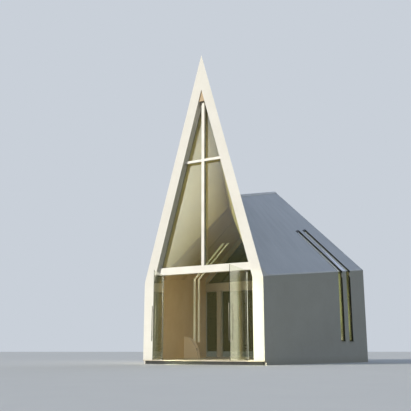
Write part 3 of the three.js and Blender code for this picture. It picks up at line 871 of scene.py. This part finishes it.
def add_linings():
    for word, side in SIDES.items():
        linings = {
            "wall": skin_of(f"{word}_wall", facing((-side, 0, 0))),
            "ceiling": skin_of(f"{word}_roof", facing((0, 0, -1), least=0.3)),
            "spire": skin_of(f"spire_back_{word}", facing((-side, -0.3, 0), least=0.5)),
        }
        for part, bm in linings.items():
            keep_part(bm, Vector((0, REAR - PLASTER_SHORT, 0)), Vector((0, 1, 0)), outer=False)
            thicken(bm, LIFT, PLASTER)
            # The plaster's warm tan colour is painted light: it stands in for the warm light that
            # fills the inside.
            add_piece(f"{word}_{part}_plaster", bm, "plaster")


# Light slots: metal liners in the reveals and beads round the folded panes

LINER = 3 * MM
LINER_LIFT = 0.3 * MM
SLOT_GLASS_IN = 45 * MM  # how far the panes are set back from the outer faces
SLOT_GLASS_BACK = 73 * MM  # just past their inner faces
STRAIGHT = 0.98  # least share by which a jamb or a sill looks along its axis
STRAIGHT_ACROSS = 0.995  # the same for the top end of a slot, in the roof
# The way that picks outer faces of wall and roof, and that which picks a folded pane's
OUTER_FACE = {"rise": 0.5, "least": 0.6}
PANE_FACE = {"rise": 0.6, "least": 0.6}
# Name, whether it looks out or in, width, depth and finish
SLOT_BEADS = (
    ("bead", 1, 24 * MM, 14 * MM, "bronze_metal"),
    ("inner_bead", -1, 30 * MM, 16 * MM, "white_metal"),
)


def lines_slot(word, part):
    """Picks the faces that line the slots of a side: jambs, sill and, in the roof, top end."""
    spans = [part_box(f"{word}_slot_glass_{place}") for place in SLOTS]

    def chosen(face):
        middle = face.calc_center_median()
        if not any(low.y - MM < middle.y < high.y + MM for low, high in spans):
            return False
        if abs(face.normal.y) > STRAIGHT or face.normal.z > STRAIGHT:
            return True
        return part == "roof" and abs(face.normal.x) > STRAIGHT_ACROSS

    return chosen


def outer_plane(node, side):
    """A point and the normal of a node's largest face that looks out, or out and up."""
    looks_out = facing((side, 0, OUTER_FACE["rise"]), OUTER_FACE["least"])
    faces = frame["nodes"][node].data.polygons
    face = max(faces, key=lambda face: face.area * looks_out(face))
    return face.center.copy(), face.normal.copy()


def add_slots():
    for word, side in SIDES.items():
        for part in ("wall", "roof"):
            node = f"{word}_{part}"
            point, normal = outer_plane(node, side)
            # The outer liners are dark bronze so that the reveals outside the panes look shaded:
            # painted shade. The inner ones are white render.
            for where, depth, finish in (
                ("outer", SLOT_GLASS_IN - MM, "bronze_metal"),
                ("inner", SLOT_GLASS_BACK, "white_render"),
            ):
                bm = skin_of(node, lines_slot(word, part))
                keep_part(bm, point - normal * depth, normal, where == "outer")
                thicken(bm, LINER_LIFT, LINER)
                add_piece(f"{node}_slot_{where}_liners", bm, finish)
        for place in SLOTS:
            pane = f"{word}_slot_glass_{place}"
            for name, way, width, depth, finish in SLOT_BEADS:
                looks = facing((way * side, 0, way * PANE_FACE["rise"]), PANE_FACE["least"])
                add_bead(f"{pane}_{name}", pane, looks, width, depth, finish)


# Flashings along the roof's edges, laid on its surface

STRIP = 3 * MM
STRIP_SET_IN = 6 * MM
EAVE = {"start": 0.36, "width": 45 * MM, "slot_gap": 4 * MM, "steps": 8}
VERGE = {"end": 0.1, "width": 90 * MM, "in": 3 * MM, "steps": 10}


def dropper(node):
    """A function that drops a point of the plan onto a node from above."""
    data = frame["nodes"][node].data
    corners = [vert.co.copy() for vert in data.vertices]
    tree = BVHTree.FromPolygons(corners, [list(face.vertices) for face in data.polygons])
    return lambda x, y: tree.ray_cast(Vector((x, y, APEX + 1)), Vector((0, 0, -1)))[0]


def lay_strip(name, drop, edges, finish, steps):
    """A thin sheet laid on a surface between two lines of the plan."""
    bm = bmesh.new()
    rows = [[bm.verts.new(drop(*edge(i / steps))) for edge in edges] for i in range(steps + 1)]
    for row, after in zip(rows, rows[1:]):
        bm.faces.new((row[0], row[1], after[1], after[0]))
    bm.normal_update()
    if sum(face.normal.z for face in bm.faces) < 0:
        bmesh.ops.reverse_faces(bm, faces=bm.faces)
    thicken(bm, LIFT, STRIP)
    add_piece(name, bm, finish)


def add_flashings():
    for word, side in SIDES.items():
        drop = dropper(f"{word}_roof")
        stops = [FRONT + EAVE["start"]]
        for place in SLOTS:
            low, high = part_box(f"{word}_slot_glass_{place}")
            stops += [low.y - EAVE["slot_gap"], high.y + EAVE["slot_gap"]]
        stops.append(REAR - STRIP_SET_IN)
        for number, (y0, y1) in enumerate(zip(stops[::2], stops[1::2]), 1):
            eaves = [
                line((side * (half_width(y0) - inset), y0), (side * (half_width(y1) - inset), y1))
                for inset in (STRIP_SET_IN, EAVE["width"])
            ]
            lay_strip(f"{word}_eave_flashing_{number}", drop, eaves, "white_metal", EAVE["steps"])
        verges = [
            line((side * (half_width(y) - VERGE["in"]), y), (side * VERGE["end"], y))
            for y in (REAR - STRIP_SET_IN, REAR - VERGE["width"])
        ]
        lay_strip(f"{word}_verge_flashing", drop, verges, "roof", VERGE["steps"])


# Flashings round the light slots, and a pale sheet between the two roof windows, which is a painted
# highlight

KERB = {"width": 24 * MM, "clear": 2 * MM, "steps": 12}  # beside a roof window
HEAD_STEPS = 4
SHEET_RISE = 0.55  # how far up the roof windows the sheet between them reaches
SHEET_TAPER = 0.94  # share of its width that it loses by then
SHEET_STEPS = 10
SILL = {
    "proud": 22 * MM, "over": 12 * MM, "thick": 4 * MM, "in": 40 * MM, "fall": 5 * MM,
    "lip": 12 * MM, "up": 2 * MM,
}


def add_window_flashings():
    for word, side in SIDES.items():
        drop = dropper(f"{word}_roof")
        spans = {}
        for place in SLOTS:
            low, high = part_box(f"{word}_slot_glass_{place}")
            top = min(abs(low.x), abs(high.x))
            spans[place] = (low.y, high.y, top)
            window = f"{word}_roof_window_{place}"
            head = side * (top - KERB["width"])
            for where, edge, way in (("front", low.y, -1), ("rear", high.y, 1)):
                kerbs = [
                    line((side * (half_width(y) - STRIP_SET_IN), y), (head, y))
                    for y in (edge + way * KERB["clear"], edge + way * KERB["width"])
                ]
                lay_strip(f"{window}_{where}_kerb", drop, kerbs, "bronze_metal", KERB["steps"])
            heads = [
                line((side * (top - away), low.y), (side * (top - away), high.y))
                for away in (KERB["clear"], KERB["width"])
            ]
            lay_strip(f"{window}_head", drop, heads, "bronze_metal", HEAD_STEPS)
        add_painted_highlight_sheet(word, side, drop, spans)


def add_painted_highlight_sheet(word, side, drop, spans):
    """A pale metal sheet, as wide as the strip between the windows at the eave and tapering up: a
    painted highlight, for the bright patch of light on the roof there.
    """
    near = spans["front"][1] + KERB["width"] + KERB["clear"]
    far = spans["rear"][0] - KERB["width"] - KERB["clear"]

    def point(y, share):
        edge = half_width(y) - STRIP_SET_IN
        top = spans["rear"][2]
        return side * (edge + (top - edge) * SHEET_RISE * share), y

    # The sheet is a painted highlight: it stands in for a bright patch of light between the
    # windows.
    lay_strip(
        f"{word}_roof_window_highlight_sheet", drop,
        (lambda share: point(near + (far - near) * SHEET_TAPER * share, share),
         lambda share: point(far, share)),
        "steel", SHEET_STEPS,
    )


def add_sills():
    for word, side in SIDES.items():
        for place in SLOTS:
            low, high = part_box(f"{word}_slot_glass_{place}")
            y0, y1 = low.y - SILL["over"], high.y + SILL["over"]
            x0, x1 = half_width(y0), half_width(y1)
            top = low.z + SILL["up"]
            under = top - SILL["thick"]
            lip = SILL["proud"] - SILL["thick"]
            profile = [
                (-SILL["in"], top + SILL["fall"]), (SILL["proud"], top),
                (SILL["proud"], top - SILL["lip"]), (lip, top - SILL["lip"]),
                (lip, under), (-SILL["in"], under + SILL["fall"]),
            ]
            bm = bmesh.new()
            points = [(side * (x0 + out), y0, z) for out, z in profile]
            add_prism(bm, points, Vector((side * (x1 - x0), y1 - y0, 0)))
            add_piece(f"{word}_slot_{place}_sill", bm, "bronze_metal")


# Bench by the left wall: quarter-round ends, seat boards and a boarded back

BENCH_END = 60 * MM
BENCH_ARC = 40  # facets of the quarter-round
BENCH_ROUND = 2.5 * MM
APRON_IN = 2 * MM  # how far the board under the seat's edge is set back
SEAT = {"height": 450 * MM, "depth": 520 * MM, "boards": 5, "joint": 5 * MM, "thick": 30 * MM}
BACK = {"thick": 60 * MM, "boards": 3, "below_top": 60 * MM}


def bench_frame():
    """From the bench's own frame, with X out into the room and Y along the wall, and its sizes."""
    low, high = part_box("side_bench")
    lean = math.atan2(REAR_HALF - FRONT_HALF, REAR - FRONT)
    sine, cosine = math.sin(lean), math.cos(lean)
    size = high - low
    spread = cosine ** 2 - sine ** 2
    depth = (size.x * cosine - size.y * sine) / spread
    length = (size.y * cosine - size.x * sine) / spread
    foot = Matrix.Translation((low.x + length * sine, low.y, low.z))
    return foot @ Matrix.Rotation(lean, 4, "Z"), depth, length, size.z


def add_bench():
    place, depth, length, height = bench_frame()
    turns = [math.pi / 2 * i / BENCH_ARC for i in range(BENCH_ARC + 1)]
    arc = [(depth * math.cos(turn), height * math.sin(turn)) for turn in turns]
    bm = bmesh.new()
    for y in (0.0, length - BENCH_END):
        add_prism(bm, [(x, y, z) for x, z in [(0.0, 0.0), *arc]], Vector((0, BENCH_END, 0)))
    inner, outer = BENCH_END - MM, length - BENCH_END + MM
    under = SEAT["height"] - SEAT["thick"]
    pitch = (SEAT["depth"] - BACK["thick"] + SEAT["joint"]) / SEAT["boards"]
    for i in range(SEAT["boards"]):
        x = BACK["thick"] + i * pitch
        add_box(bm, x, x + pitch - SEAT["joint"], inner, outer, under, SEAT["height"])
    apron = SEAT["depth"] - SEAT["thick"]
    add_box(bm, apron, SEAT["depth"] - APRON_IN, inner, outer, 0.0, under - MM)
    face = BACK["thick"] - SEAT["joint"]
    rise = (height - BACK["below_top"]) / BACK["boards"]
    for i in range(BACK["boards"]):
        add_box(bm, 0.0, face, inner, outer, i * rise, (i + 1) * rise - SEAT["joint"])
    soften(bm, BENCH_ROUND)
    bm.transform(place)
    add_piece("bench_boards", bm, "beech", stands_for=("side_bench",), smooth=True)


# Rear wall: beads round every pane, outside and inside

# Name, the way it looks along Y, width and depth
REAR_BEADS = (("outer_bead", 1, 45 * MM, 30 * MM), ("inner_bead", -1, 40 * MM, 24 * MM))


def add_rear_beads():
    panes = [name for name in frame["nodes"] if name.startswith(("rear_pane", "rear_gable"))]
    for pane in sorted(panes):
        for name, way, width, depth in REAR_BEADS:
            add_bead(f"{pane}_{name}", pane, facing((0, way, 0)), width, depth, "white_metal")


# Surfaces of the CAD nodes

NODE_FINISH = {
    "base_plinth": "concrete", "floor_slab": "stone", "front_beam": "white_metal",
    "front_cross": "white_metal", "ridge_cap": "white_metal", "rear_header": "white_metal",
    "rear_mullion": "white_metal", "side_bench": "beech",
}
# For the other nodes, the first of these words that is in the name says the finish
FINISH_OF_KIND = (
    ("slot_glass", "tinted_glass"), ("upper_glass", "coated_glass"), ("glass", "clear_glass"),
    ("pane", "clear_glass"), ("sidelight", "clear_glass"), ("pull", "dark_steel"),
    ("pivot", "dark_steel"), ("post", "white_metal"), ("roof", "roof"), ("wall", "white_render"),
    ("leg", "white_render"), ("rake", "white_render"), ("spire_back", "white_render"),
)


def finish_nodes():
    for name, node in frame["nodes"].items():
        kinds = [finish for word, finish in FINISH_OF_KIND if word in name]
        finish = NODE_FINISH.get(name) or kinds[0]
        node.data.materials.clear()
        node.data.materials.append(MATERIALS[finish])


add_camera()
add_studio()
finish_nodes()
add_beam_casing()
add_front_beads()
add_tip_board()
add_doors()
add_linings()
add_slots()
add_flashings()
add_window_flashings()
add_sills()
add_bench()
add_rear_beads()
